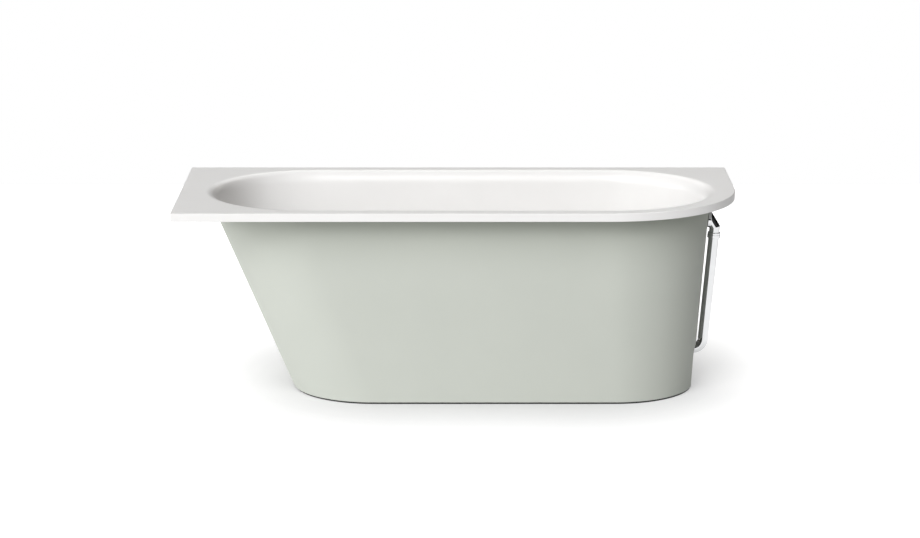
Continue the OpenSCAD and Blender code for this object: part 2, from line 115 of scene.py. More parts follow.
NT = 4 * (ARC + 1 + len(STRAIGHT))


def roll_ring(f):
    a = f * (math.pi / 2 - LEAN)
    return expand(with_z(TOP - NRM * (EDGE_R * np.sin(a))[:, None], ROLL_Z + EDGE_R * np.cos(a)))


def mid_ring(f, d):
    z = ROLL_END + (FOOT_Z - ROLL_END) * f
    return expand(with_z(wall_at(z, d), z))


def floor_ring(f, d):
    a = LEAN + f * (math.pi / 2 - LEAN)
    r = FLOOR_R + d
    return expand(with_z(wall_at(FOOT_Z, 0) + NRM * (r * np.cos(a) - FLOOR_R * np.cos(LEAN))[:, None], FLOOR_Z + FLOOR_R - r * np.sin(a)))


def skin_ring(z, d):
    return expand(with_z(wall_at(z, d), z))


def slab_ring(inset, z):
    q = max(SQUARE_R - inset, 0.0006)
    return expand(with_z(outline(-BATH_L / 2 + inset, BATH_L / 2 - inset, BATH_W / 2 - inset, [CORNER_R - inset, q, q, q]), z))


def round_hole(r, z, x=DRAIN_X):
    t = np.radians(-90 + 360 * np.arange(NT) / NT)
    return np.column_stack([x + r * np.cos(t), r * np.sin(t), np.zeros(NT) + z])


# ------------------------------------------------------------------ mesh helpers
def from_data(name, verts, faces, sharp=34):
    me = bpy.data.meshes.new(name)
    me.from_pydata([tuple(map(float, v)) for v in verts], [], faces)
    me.validate()
    o = bpy.data.objects.new(name, me)
    COL.objects.link(o)
    finish_mesh(o, sharp)
    return o


def finish_mesh(o, sharp=34):
    me = o.data
    me.polygons.foreach_set("use_smooth", [True] * len(me.polygons))
    me.set_sharp_from_angle(angle=math.radians(sharp))
    me.update()


def loop_rings(rings, closed):
    m, n = len(rings), len(rings[0])
    faces = []
    for k in range(m if closed else m - 1):
        a, b = k * n, ((k + 1) % m) * n
        for i in range(n):
            j = (i + 1) % n
            faces.append((a + i, a + j, b + j, b + i))
    return np.concatenate(rings), faces


def evaluated(o):
    """Applies the object's modifiers to its mesh."""
    bpy.context.view_layer.update()
    me = bpy.data.meshes.new_from_object(o.evaluated_get(bpy.context.evaluated_depsgraph_get()))
    o.modifiers.clear()
    old = o.data
    o.data = me
    me.name = o.name
    bpy.data.meshes.remove(old)
    return o


def boolean(o, tools, op="DIFFERENCE"):
    for t in tools:
        m = o.modifiers.new("cut", "BOOLEAN")
        m.operation, m.object, m.solver = op, t, "EXACT"
    evaluated(o)
    for t in tools:
        bpy.data.objects.remove(t, do_unlink=True)
    return o


def fillet(points, radii, seg=5, closed=False):
    """Rounds the corners of a profile. radii is one number or one per point."""
    pts = [Vector(p) for p in points]
    n = len(pts)
    rr = radii if isinstance(radii, (list, tuple)) else [radii] * n
    out = []
    for i, p in enumerate(pts):
        if (not closed and i in (0, n - 1)) or rr[i] <= 0:
            out.append(p)
            continue
        a, b = pts[i - 1] - p, pts[(i + 1) % n] - p
        la, lb = a.length, b.length
        a, b = a / la, b / lb
        half = a.angle(b) / 2
        if half > math.radians(88):
            out.append(p)
            continue
        r = min(rr[i], 0.48 * min(la, lb) * math.tan(half))
        t = r / math.tan(half)
        c = p + (a + b).normalized() * (r / math.sin(half))
        s, e = (p + a * t) - c, (p + b * t) - c
        w = s.angle(e)
        side = 1 if s.x * e.y - s.y * e.x > 0 else -1
        for k in range(seg + 1):
            f = side * w * k / seg
            out.append(c + Vector((s.x * math.cos(f) - s.y * math.sin(f), s.x * math.sin(f) + s.y * math.cos(f))))
    return [(v.x, v.y) for v in out]


def lathe(name, profile, matrix=None, seg=96, closed=False, sharp=34, wave=None):
    """Turns a (radius, height) profile round Z. Points of radius 0 become poles. wave(angle, radius, height) may change a radius."""
    bm = bmesh.new()
    rows = []
    for r, z in profile:
        if r < 1e-7:
            rows.append([bm.verts.new((0, 0, z))])
        else:
            row = []
            for i in range(seg):
                t = 2 * math.pi * i / seg
                rad = wave(t, r, z) if wave else r
                row.append(bm.verts.new((rad * math.cos(t), rad * math.sin(t), z)))
            rows.append(row)
    pairs = list(zip(rows, rows[1:])) + ([(rows[-1], rows[0])] if closed else [])
    for a, b in pairs:
        if len(a) == 1 and len(b) == 1:
            continue
        for i in range(seg):
            j = (i + 1) % seg
            if len(a) == 1:
                bm.faces.new((a[0], b[j], b[i]))
            elif len(b) == 1:
                bm.faces.new((a[i], a[j], b[0]))
            else:
                bm.faces.new((a[i], a[j], b[j], b[i]))
    bmesh.ops.recalc_face_normals(bm, faces=bm.faces)
    if matrix is not None:
        bm.transform(matrix)
    me = bpy.data.meshes.new(name)
    bm.to_mesh(me)
    bm.free()
    o = bpy.data.objects.new(name, me)
    COL.objects.link(o)
    finish_mesh(o, sharp)
    return o


def outward(o):
    bm = bmesh.new()
    bm.from_mesh(o.data)
    bmesh.ops.recalc_face_normals(bm, faces=bm.faces)
    bm.to_mesh(o.data)
    bm.free()
    return o


def cyl(r, z0, z1, matrix=None, seg=96):
    return lathe("tool", [(0, z0), (r, z0), (r, z1), (0, z1)], matrix, seg)


def prism(outline2d, matrix, depth):
    """A closed prism: outline in its own x, y, from z 0 to depth, then placed."""
    n = len(outline2d)
    v = [(x, y, 0) for x, y in outline2d] + [(x, y, depth) for x, y in outline2d]
    f = [tuple(range(n))[::-1], tuple(range(n, 2 * n))] + [(i, (i + 1) % n, n + (i + 1) % n, n + i) for i in range(n)]
    me = bpy.data.meshes.new("tool")
    me.from_pydata(v, [], f)
    me.transform(matrix)
    o = bpy.data.objects.new("tool", me)
    COL.objects.link(o)
    return outward(o)


def merge(name, objs, sharp=34):
    """Several closed meshes as one object."""
    bm = bmesh.new()
    for o in objs:
        o.data.transform(o.matrix_world)
        bm.from_mesh(o.data)
        bpy.data.objects.remove(o, do_unlink=True)
    bmesh.ops.remove_doubles(bm, verts=bm.verts, dist=5e-7)
    me = bpy.data.meshes.new(name)
    bm.to_mesh(me)
    bm.free()
    o = bpy.data.objects.new(name, me)
    COL.objects.link(o)
    finish_mesh(o, sharp)
    return o


# ------------------------------------------------------------------ materials
def nodes_of(mat):
    mat.use_nodes = True
    nt = mat.node_tree
    nt.nodes.clear()
    out = nt.nodes.new("ShaderNodeOutputMaterial")
    b = nt.nodes.new("ShaderNodeBsdfPrincipled")
    nt.links.new(b.outputs["BSDF"], out.inputs["Surface"])
    return nt, b


def noise(nt, coord, scale, detail=3.0, rough=0.5, stretch=None):
    src = coord
    if stretch:
        m = nt.nodes.new("ShaderNodeMapping")
        m.inputs["Scale"].default_value = stretch
        nt.links.new(coord, m.inputs["Vector"])
        src = m.outputs["Vector"]
    n = nt.nodes.new("ShaderNodeTexNoise")
    n.inputs["Scale"].default_value = scale
    n.inputs["Detail"].default_value = detail
    n.inputs["Roughness"].default_value = rough
    nt.links.new(src, n.inputs["Vector"])
    return n.outputs["Fac"]


def map_range(nt, src, a, b, c=0.3, d=0.7):
    m = nt.nodes.new("ShaderNodeMapRange")
    m.inputs["From Min"].default_value = c
    m.inputs["From Max"].default_value = d
    m.inputs["To Min"].default_value = a
    m.inputs["To Max"].default_value = b
    nt.links.new(src, m.inputs["Value"])
    return m.outputs["Result"]


# Painted shade: darkens a colour by shade_factor inside the given windows, standing in for shade that the lights do not
# give.
def painted_shade_darkening(nt, coord, colour, shade_factor, power, windows):
    axes = nt.nodes.new("ShaderNodeSeparateXYZ")
    nt.links.new(coord, axes.inputs[0])
    full = None
    for axis, start, end, mirrored in windows:
        value = axes.outputs[axis]
        if mirrored:
            m = nt.nodes.new("ShaderNodeMath")
            m.operation = "ABSOLUTE"
            nt.links.new(value, m.inputs[0])
            value = m.outputs[0]
        r = nt.nodes.new("ShaderNodeMapRange")
        r.interpolation_type = "SMOOTHSTEP" if power == 1 else "LINEAR"
        r.inputs["From Min"].default_value, r.inputs["From Max"].default_value = start, end
        nt.links.new(value, r.inputs["Value"])
        value = r.outputs["Result"]
        if full is not None:
            m = nt.nodes.new("ShaderNodeMath")
            m.operation = "MULTIPLY"
            nt.links.new(full, m.inputs[0])
            nt.links.new(value, m.inputs[1])
            value = m.outputs[0]
        full = value
    p = nt.nodes.new("ShaderNodeMath")
    p.operation = "POWER"
    nt.links.new(full, p.inputs[0])
    p.inputs[1].default_value = power
    lost = nt.nodes.new("ShaderNodeVectorMath")
    lost.operation = "SCALE"
    lost.inputs[0].default_value = tuple(c - 1.0 for c in shade_factor)
    nt.links.new(p.outputs[0], lost.inputs["Scale"])
    kept = nt.nodes.new("ShaderNodeVectorMath")
    kept.operation = "ADD"
    nt.links.new(lost.outputs[0], kept.inputs[0])
    kept.inputs[1].default_value = (1.0, 1.0, 1.0)
    out = nt.nodes.new("ShaderNodeVectorMath")
    out.operation = "MULTIPLY"
    nt.links.new(colour, out.inputs[0])
    nt.links.new(kept.outputs[0], out.inputs[1])
    return out.outputs[0]


def finish_material(name, low, high, rough, vary=6.0, rough_vary=0.04, rough_scale=22.0, metallic=0.0, bumps=(), stretch=None,
                    spec=0.5, coat=0.0, coat_rough=0.1, ior=1.5, painted_shade=None):
    """A surface whose colour drifts from low to high, with its own gloss drift and fine relief. bumps: (scale, metres,
    detail).
    painted_shade: (shade_factor, power, windows), a painted shade that darkens the colour where all windows (axis,
    from, to, mirrored) are full."""
    mat = bpy.data.materials.new(name)
    nt, b = nodes_of(mat)
    tc = nt.nodes.new("ShaderNodeTexCoord").outputs["Object"]
    ramp = nt.nodes.new("ShaderNodeValToRGB")
    ramp.color_ramp.elements[0].position, ramp.color_ramp.elements[1].position = 0.32, 0.68
    ramp.color_ramp.elements[0].color = (*low, 1)
    ramp.color_ramp.elements[1].color = (*high, 1)
    nt.links.new(noise(nt, tc, vary, 4.0, 0.55, stretch), ramp.inputs["Fac"])
    # painted shade darkens the base colour inside its windows
    if painted_shade:
        nt.links.new(painted_shade_darkening(nt, tc, ramp.outputs["Color"], *painted_shade), b.inputs["Base Color"])
    else:
        nt.links.new(ramp.outputs["Color"], b.inputs["Base Color"])
    nt.links.new(map_range(nt, noise(nt, tc, rough_scale, 5.0, 0.6, stretch), rough - rough_vary, rough + rough_vary), b.inputs["Roughness"])
    b.inputs["Metallic"].default_value = metallic
    b.inputs["IOR"].default_value = ior
    b.inputs["Specular IOR Level"].default_value = spec
    b.inputs["Coat Weight"].default_value = coat
    b.inputs["Coat Roughness"].default_value = coat_rough
    normal = None
    for scale, height, detail in bumps:
        bump = nt.nodes.new("ShaderNodeBump")
        bump.inputs["Strength"].default_value = 1.0
        bump.inputs["Distance"].default_value = height
        nt.links.new(noise(nt, tc, scale, detail, 0.5, stretch), bump.inputs["Height"])
        if normal is not None:
            nt.links.new(normal, bump.inputs["Normal"])
        normal = bump.outputs["Normal"]
    if normal is not None:
        nt.links.new(normal, b.inputs["Normal"])
    return mat


M = {
    # tub_white carries a painted shade: inside the basin's head end, just below the rim top, the white is darkened to
    # about two thirds, a warm grey where that wall is turned away from the lights.
    "tub": finish_material("tub_white", (0.846, 0.838, 0.828), (0.864, 0.857, 0.848), 0.30, vary=5.0, rough_vary=0.02, spec=0.42,
                           bumps=((9.0, 0.00010, 1.0),),
                           painted_shade=((0.68, 0.665, 0.65), 1.2, (("X", -0.60, -0.76, False), ("Z", 0.5997, 0.592, False), ("Y", 0.345, 0.325, True)))),
    # skirt_green carries a painted shade: the green darkens upwards from z 0.37 to about three quarters of its colour
    # under the rim's overhang.
    "skirt": finish_material("skirt_green", (0.540, 0.564, 0.516), (0.554, 0.577, 0.528), 0.58, vary=4.0, rough_vary=0.03, spec=0.12,
                             bumps=((420.0, 0.000012, 2.0), (1600.0, 0.000004, 1.0)),
                             painted_shade=((0.76, 0.77, 0.745), 1.8, (("Z", 0.37, 0.575, False),))),
    # The floor seal is a real strip under the skirt; its near-black colour also stands in for the shade in the gap
    # between skirt and floor.
    "seal": finish_material("seal_with_gap_shade", (0.018, 0.018, 0.017), (0.030, 0.030, 0.028), 0.75, bumps=((700.0, 0.00004, 3.0),)),
    "chrome": finish_material("chrome", (0.540, 0.545, 0.550), (0.570, 0.575, 0.580), 0.06, vary=30.0, rough_vary=0.02, rough_scale=60.0,
                              metallic=1.0, bumps=((45.0, 0.000008, 2.0),)),
    "brass": finish_material("brass", (0.60, 0.44, 0.20), (0.70, 0.53, 0.26), 0.30, vary=90.0, rough_vary=0.08, metallic=1.0,
                             bumps=((1200.0, 0.00001, 2.0),)),
    "steel": finish_material("zinc_steel", (0.52, 0.52, 0.51), (0.62, 0.62, 0.605), 0.40, vary=40.0, rough_vary=0.08, rough_scale=70.0,
                             metallic=1.0, bumps=((500.0, 0.00002, 3.0),)),
    "plastic": finish_material("waste_plastic", (0.74, 0.745, 0.74), (0.79, 0.79, 0.78), 0.42, vary=25.0, rough_vary=0.06,
                               bumps=((1500.0, 0.00001, 2.0),)),
    "rubber": finish_material("rubber", (0.020, 0.020, 0.020), (0.040, 0.040, 0.038), 0.65, vary=60.0, rough_vary=0.1,
                              bumps=((900.0, 0.00003, 3.0),)),
    "foam": finish_material("foam", (0.16, 0.16, 0.165), (0.24, 0.24, 0.245), 0.95, vary=400.0, rough_vary=0.02,
                            bumps=((900.0, 0.0002, 2.0),)),
    "board": finish_material("chip_board", (0.34, 0.22, 0.12), (0.66, 0.50, 0.32), 0.80, vary=240.0, rough_vary=0.05,
                             bumps=((350.0, 0.0002, 3.0),), stretch=(1.0, 0.55, 2.4)),
}


def dress(o, mat, body="bath", replaces=()):
    o.data.materials.clear()
    o.data.materials.append(M[mat])
    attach(o, body)
    if replaces:
        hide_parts(*replaces)
    return o


# ------------------------------------------------------------------ right wall's own frame: x out of the skirt, z up along it
LEAN_R = float(lean_of(np.array(RUN_RIGHT)))
WALL_X = (OPEN_X - EDGE_R * math.cos(LEAN_R) - (ROLL_Z + EDGE_R * math.sin(LEAN_R) - OVERFLOW_Z) * math.tan(LEAN_R)
          + WALL_TOTAL / math.cos(LEAN_R))
ON_WALL = Matrix.Translation((WALL_X, 0, OVERFLOW_Z)) @ Matrix.Rotation(LEAN_R, 4, "Y")
ALONG_X = Matrix.Rotation(math.pi / 2, 4, "Y")  # turns a lathe's Z axis to +X


def wall_x(r, x0, x1, seg=96):
    return cyl(r, x0, x1, ON_WALL @ ALONG_X, seg)


# ------------------------------------------------------------------ rim slab and basin
def rounding(f0, f1, n):
    return [f0 + (f1 - f0) * k / n for k in range(n + 1)]


def make_tub():
    rings = [round_hole(0.025, UNDER_Z)]
    rings += [floor_ring(1, WALL_T)]
    rings += [floor_ring(f, WALL_T) for f in rounding(0.9, 0, 9)]
    rings += [mid_ring(f, WALL_T) for f in (0.97, 0.66, 0.33, 0.06)]
    rings += [skin_ring(RIM_Z, WALL_T)]
    low, up = 0.0012, 0.0022
    rings += [slab_ring(low + 0.002, RIM_Z)]
    for k in range(4):
        a = math.radians(90 * k / 3)
        rings.append(slab_ring(low * (1 - math.sin(a)), RIM_Z + low * (1 - math.cos(a))))
    rings.append(slab_ring(0, RIM_Z + low + 0.001))
    rings.append(slab_ring(0, BATH_H - up - 0.001))
    for k in range(6):
        a = math.radians(90 * k / 5)
        rings.append(slab_ring(up * (1 - math.cos(a)), BATH_H - up * (1 - math.sin(a))))
    rings.append(slab_ring(up + 0.002, BATH_H))
    top = roll_ring(0)
    near = expand(with_z(TOP + NRM * 0.003, BATH_H))
    rings += [near, top]
    rings += [roll_ring(f) for f in rounding(1 / 16, 1, 15)]
    rings += [mid_ring(f, 0) for f in (0.02, 0.33, 0.66, 0.98)]
    rings += [floor_ring(f, 0) for f in rounding(0, 1, 16)]
    # drain recess
    rings.append(round_hole(0.0385, FLOOR_Z))
    for k in range(4):
        a = math.radians(90 * k / 3)
        rings.append(round_hole(0.0378 - 0.0008 * math.sin(a), FLOOR_Z - 0.0008 * (1 - math.cos(a))))
    rings += [round_hole(0.037, FLOOR_Z - 0.003), round_hole(0.025, FLOOR_Z - 0.003)]
    v, f = loop_rings(rings, True)
    o = from_data("tub_shell", v, f)
    boolean(o, [wall_x(0.019, -0.026, -0.010), wall_x(0.0295, -0.045, -WALL_TOTAL + 0.0005)])
    finish_mesh(o, 34)
    return o


tub = dress(make_tub(), "tub", replaces=("tub_body",))


# ------------------------------------------------------------------ skirt
def arch(w, h, r, n=10):
    pts = [(-w / 2, -0.02), (w / 2, -0.02)]
    pts += [(w / 2 - r + r * math.cos(math.radians(a)), h - r + r * math.sin(math.radians(a))) for a in np.linspace(0, 90, n)]
    pts += [(-w / 2 + r + r * math.cos(math.radians(a)), h - r + r * math.sin(math.radians(a))) for a in np.linspace(90, 180, n)]
    return pts


TO_X = Matrix(((0, 0, 1, 0), (1, 0, 0, 0), (0, 1, 0, 0), (0, 0, 0, 1)))  # outline x, y -> world y, z; depth along +X
TO_Y = Matrix(((-1, 0, 0, 0), (0, 0, 1, 0), (0, 1, 0, 0), (0, 0, 0, 1)))  # outline x, y -> world -x, z; depth along +Y


def make_skirt():
    out, inn = WALL_TOTAL, WALL_TOTAL - SKIRT_T
    r = 0.0015
    rings = []
    for k in range(4):
        a = math.radians(90 * k / 3)
        rings.append(skin_ring(SEAL_H + r * (1 - math.cos(a)), out - r * (1 - math.sin(a))))
    rings += [skin_ring(z, out) for z in (SEAL_H + r + 0.002, 0.15, 0.30, 0.45, RIM_Z - 0.002, RIM_Z)]
    rings += [skin_ring(z, inn) for z in (RIM_Z, RIM_Z - 0.002, 0.45, 0.30, 0.15, SEAL_H + 0.002, SEAL_H)]
    v, f = loop_rings(rings, True)
    o = outward(from_data("skirt_shell", v, f))
    tools = [prism(arch(ARCH_W, ARCH_H, ARCH_R), Matrix.Translation((0.60, 0, 0)) @ TO_X, 0.25),
             prism(arch(REAR_W, REAR_H, ARCH_R), Matrix.Translation((DRAIN_X, 0.22, 0)) @ TO_Y, 0.25),
             wall_x(0.019, -0.012, 0.004), wall_x(0.025, -0.0015, 0.02)]
    boolean(o, tools)
    finish_mesh(o, 34)
    return o


skirt = dress(make_skirt(), "skirt", replaces=("outer_skirt",))


# A recessed strip round the foot of the skirt; its near-black finish also stands in for the shade in the gap between
# skirt and floor.
def make_seal():
    d = WALL_TOTAL - SEAL_IN
    rings = [skin_ring(0, d - 0.0005), skin_ring(0.0005, d), skin_ring(SEAL_H, d), skin_ring(SEAL_H, d - 0.008), skin_ring(0, d - 0.008)]
    v, f = loop_rings(rings, True)
    o = outward(from_data("floor_seal", v, f))
    tools = [prism(arch(ARCH_W, ARCH_H, ARCH_R), Matrix.Translation((0.60, 0, 0)) @ TO_X, 0.25),
             prism(arch(REAR_W, REAR_H, ARCH_R), Matrix.Translation((DRAIN_X, 0.22, 0)) @ TO_Y, 0.25)]
    boolean(o, tools)
    finish_mesh(o)
    return o


dress(make_seal(), "seal", replaces=("base_seal",))

# ------------------------------------------------------------------ overflow pipe
MITRE_TOP, MITRE_LOW = (0.0126, 0.0232), (PIPE_OFF + PIPE_R, -0.0166)
MITRE_A = math.atan2(MITRE_TOP[1] - MITRE_LOW[1], MITRE_LOW[0] - MITRE_TOP[0])
LEG_LOW = -0.0455


def on_leg(m=None):
    return ON_WALL @ Matrix.Translation((PIPE_OFF, 0, 0)) @ (m or Matrix.Identity(4))


def local_box(x0, x1, y0, y1, z0, z1, matrix):
    return prism([(x0, y0), (x1, y0), (x1, y1), (x0, y1)], matrix @ Matrix.Translation((0, 0, z0)), z1 - z0)


JOINT_H = MITRE_TOP[1] - PIPE_R * math.cos(MITRE_A) - (PIPE_OFF - MITRE_TOP[0] + PIPE_R * math.sin(MITRE_A)) * math.tan(MITRE_A)


def at_joint(angle):
    return ON_WALL @ Matrix.Translation((PIPE_OFF, 0, JOINT_H)) @ Matrix.Rotation(angle, 4, "Y")


def make_elbow():
    mitre = at_joint(math.radians(135) + MITRE_A / 2)
    leg = cyl(PIPE_R, LEG_LOW, -0.008, on_leg(), 160)
    boolean(leg, [local_box(-0.08, 0.08, -0.08, 0.08, -0.16, 0.0, mitre)])
    slope = cyl(PIPE_R, -0.060, 0.020, at_joint(math.pi / 2 + MITRE_A), 160)
    boolean(slope, [local_box(-0.08, 0.08, -0.08, 0.08, 0.00005, 0.16, mitre)])
    boolean(slope, [local_box(-0.08, 0.006, -0.08, 0.08, -0.08, 0.08, ON_WALL)])
    # above the bore's line it stays within the flange's round
    ring = lathe("tool", [(0.0244, -0.01), (0.09, -0.01), (0.09, 0.08), (0.0244, 0.08)], ON_WALL @ ALONG_X, 144, closed=True)
    boolean(ring, [local_box(-0.1, 0.1, -0.1, 0.1, -0.1, 0.0, ON_WALL)])
    boolean(slope, [ring])
    disc = lathe("tool", [(0, 0.001)] + fillet([(0, 0.001), (0.0245, 0.001), (0.0245, 0.012), (0, 0.012)], [0, 0.0008, 0.0016, 0], 5)[1:],
                 ON_WALL @ ALONG_X, 144)
    bead = lathe("tool", fillet([(0.0125, LEG_LOW + 0.0001), (0.0194, LEG_LOW + 0.0001), (0.0194, -0.038), (0.0125, -0.038)],
                                [0, 0.0002, 0.0004, 0], 4), on_leg(), 136, closed=True)
    boolean(leg, [slope], "UNION")
    boolean(leg, [disc], "UNION")
    m = leg.modifiers.new("even", "REMESH")
    m.mode, m.voxel_size, m.adaptivity = "VOXEL", 0.0005, 0.0
    evaluated(leg)
    s = leg.modifiers.new("soft", "SMOOTH")
    s.factor, s.iterations = 0.5, 8
    evaluated(leg)
    boolean(leg, [bead], "UNION")
    # the socket for the spigot and the way through to the leg
    boolean(leg, [wall_x(0.01805, -0.001, 0.010)])
    way = cyl(0.012, -0.060, 0.0, at_joint(math.pi / 2 + MITRE_A), 96)
    boolean(way, [local_box(-0.08, 0.0099, -0.08, 0.08, -0.08, 0.08, ON_WALL)])
    ball = lathe("tool", [(0.012 * math.sin(a), -0.012 * math.cos(a)) for a in np.linspace(0, math.pi, 33)],
                 ON_WALL @ Matrix.Translation((PIPE_OFF, 0, JOINT_H)), 96)
    down = cyl(0.012, -0.050, JOINT_H, on_leg(), 96)
    boolean(leg, [way])
    boolean(leg, [ball])
    boolean(leg, [down])
    nipple = lathe("tool", [(0.012, -0.060), (0.0143, -0.060), (0.0143, -0.0445), (0.012, -0.0445)], on_leg(), 96, closed=True)
    return merge("overflow_elbow_chrome", [leg, nipple], 40)


elbow = dress(make_elbow(), "chrome", replaces=("overflow_elbow",))

collar_profile = fillet([(PIPE_R + 0.00005, LEG_LOW), (0.0200, LEG_LOW), (0.0200, LEG_LOW - 0.0105), (PIPE_R + 0.00005, LEG_LOW - 0.0105)],
                        [0, 0.0003, 0.0016, 0], 6)
collar = lathe("overflow_collar_chrome", collar_profile, on_leg(), 128, closed=True)
dress(collar, "chrome", replaces=("elbow_collar",))

DROP = (OVERFLOW_Z - PIPE_OFF * math.sin(LEAN_R) - INLET_Z) / math.cos(LEAN_R)
TURN = math.pi / 2 - LEAN_R
TANGENT = BEND_R * math.tan(TURN / 2)
CORNER_X = WALL_X + PIPE_OFF * math.cos(LEAN_R) - DROP * math.sin(LEAN_R)


def make_tube():
    path, tang = [], []
    start, end = LEG_LOW - 0.002, -DROP + TANGENT
    down = ON_WALL.to_3x3() @ Vector((0, 0, -1))
    for f in (0, 0.01, 0.34, 0.67, 0.99):
        path.append(ON_WALL @ Vector((PIPE_OFF, 0, start + (end - start) * f)))
        tang.append(down)
    centre = ON_WALL @ Vector((PIPE_OFF - BEND_R, 0, end))
    x0 = ON_WALL.to_3x3() @ Vector((1, 0, 0))
    n = 28
    for k in range(n + 1):
        a = TURN * k / n
        radial = x0 * math.cos(a) + down * math.sin(a)
        path.append(centre + radial * BEND_R)
        tang.append(down * math.cos(a) - x0 * math.sin(a))
    for x in (0.999, 0.66, 0.33, 0.0):
        path.append(Vector((DRAIN_X + 0.032 + (CORNER_X - TANGENT - DRAIN_X - 0.032) * x, 0, INLET_Z)))
        tang.append(Vector((-1, 0, 0)))
    seg = 96
    rings = []
    for r in (PIPE_R, PIPE_R - PIPE_T):
        part = []
        for p, t in zip(path, tang):
            side = Vector((0, 1, 0))
            up = t.cross(side)
            part.append(np.array([p + (side * math.cos(b) + up * math.sin(b)) * r for b in np.linspace(0, 2 * math.pi, seg, endpoint=False)]))
        rings.append(part)
    v, f = loop_rings(rings[0] + rings[1][::-1], True)
    return outward(from_data("overflow_tube_chrome", v, f, 40))


tube = dress(make_tube(), "chrome", replaces=("overflow_tube",))

# ------------------------------------------------------------------ overflow rosette and its screw, inside the basin
SEAT_IN = -WALL_TOTAL + 0.0005
rosette = lathe("overflow_rosette_chrome", fillet(
    [(0.00255, SEAT_IN - 0.012), (0.0055, SEAT_IN - 0.0120), (0.0330, SEAT_IN - 0.0108), (0.0330, SEAT_IN - 0.004), (0.0310, SEAT_IN - 0.004),
     (0.0310, SEAT_IN - 0.009), (0.0050, SEAT_IN - 0.009), (0.0050, SEAT_IN - 0.002), (0.00255, SEAT_IN - 0.002)],
    [0, 0, 0.0016, 0.0006, 0.0006, 0.001, 0.001, 0.0004, 0], 6), ON_WALL @ ALONG_X, 128, closed=True)
dress(rosette, "chrome", replaces=("overflow_rosette",))

# ------------------------------------------------------------------ waste plug
AT_DRAIN = Matrix.Translation((DRAIN_X, 0, 0))
PLUG_LOW = FLOOR_Z + 0.0008
dome = [(0.148 * math.sin(a), PLUG_LOW + 0.0055 - 0.148 + 0.148 * math.cos(a)) for a in np.linspace(0, math.asin(0.0308 / 0.148), 14)]
cap_profile = [(0.0, PLUG_LOW - 0.010)] + fillet(
    [(0.0195, PLUG_LOW - 0.010), (0.0195, PLUG_LOW - 0.008), (0.017, PLUG_LOW - 0.008), (0.017, PLUG_LOW), (0.032, PLUG_LOW),
     (0.032, dome[-1][1] - 0.0004), dome[-1]], [0.0005, 0.0005, 0.0003, 0.001, 0.0007, 0.0009, 0], 5)[:-1] + dome[::-1]
cap = lathe("plug_cap_chrome", cap_profile, AT_DRAIN, 128)
dress(cap, "chrome", body="plug", replaces=("plug_cap",))

# ------------------------------------------------------------------ feet, rails, brackets and their hardware
BOARD_Z = UNDER_Z - 0.018
RAIL_Z = BOARD_Z - 0.025
RAILS, FOOT_Y = (-0.350, 0.300), 0.190
RAIL_SCREW_Y = (-0.120, -0.050, 0.050, 0.120)
STUD_R, STUD_TOP = 0.005, UNDER_Z - 0.004
FEET = [(x, y) for y in (-FOOT_Y, FOOT_Y) for x in RAILS]


def at(x, y, z=0.0, turn=0.0):
    return Matrix.Translation((x, y, z)) @ Matrix.Rotation(turn, 4, "Z")


def threaded(r, z0, z1, pitch, depth, matrix, seg=20, per=4, tip=0.001):
    """A closed rod whose surface is one rolled helical thread, tapered at its upper end."""
    n = max(2, int(round((z1 - z0) / pitch * per)))
    k, j = np.meshgrid(np.arange(n + 1), np.arange(seg), indexing="ij")
    z = z0 + (z1 - z0) * k / n
    a = 2 * np.pi * j / seg
    ramp = np.abs(2 * ((z / pitch - a / (2 * np.pi)) % 1.0) - 1)
    rad = r - depth * ramp
    rad = np.minimum(rad, r - depth + (z1 - z) / tip * depth)
    rad[-1] = rad[-1] - 0.3 * depth
    v = np.column_stack([(rad * np.cos(a)).ravel(), (rad * np.sin(a)).ravel(), z.ravel()])
    f = [(i * seg + q, i * seg + (q + 1) % seg, (i + 1) * seg + (q + 1) % seg, (i + 1) * seg + q) for i in range(n) for q in range(seg)]
    f += [tuple(range(seg))[::-1], tuple(range(n * seg, (n + 1) * seg))]
    o = from_data("tool", v, f, 60)
    o.data.transform(matrix)
    return o


def cross_head(r, z0, z1, matrix, depth=0.0011):
    """A pan head with a cross recess in its lower face."""
    o = lathe("tool", [(0, z0)] + fillet([(0, z0), (r, z0), (r, z1), (0, z1)], [0, min(0.0013, 0.48 * (z1 - z0)), 0.0002, 0], 5)[1:-1] + [(0, z1)],
              matrix, 40)
    arm = 0.56 * r
    boolean(o, [local_box(-arm, arm, -0.00045, 0.00045, z0 - 0.001, z0 + depth, matrix)])
    boolean(o, [local_box(-0.00045, 0.00045, -arm, arm, z0 - 0.001, z0 + depth, matrix)])
    return o


def screws_up(name, places, head_z, tip_z, replaces):
    parts = []
    for k, (x, y) in enumerate(places):
        m = at(x, y, 0, 0.4 + 1.1 * k)
        head = cross_head(0.0045, head_z - 0.0025, head_z, m)
        parts += [head, threaded(0.002, head_z - 0.0003, tip_z, 0.0016, 0.00035, m, 14, 4, 0.0016)]
    return dress(merge(name, parts, 40), "steel", replaces=(replaces,))


def many_sided(sides, flats, z0, z1, bevel, matrix, turn=0.0):
    """A nut's outside: a prism whose corners are turned down at both ends."""
    r = flats / 2 / math.cos(math.pi / sides)
    pts = [(r * math.cos(turn + 2 * math.pi * k / sides), r * math.sin(turn + 2 * math.pi * k / sides)) for k in range(sides)]
    o = prism(pts, matrix @ Matrix.Translation((0, 0, z0)), z1 - z0)
    low = flats / 2 - 0.0002
    turned = lathe("tool", [(0, z0 - 0.001), (low, z0 - 0.001), (low, z0), (r + 0.0002, z0 + bevel), (r + 0.0002, z1 - bevel), (low, z1), (low, z1 + 0.001),
                            (0, z1 + 0.001)], matrix, 96)
    boolean(o, [turned], "INTERSECT")
    return o


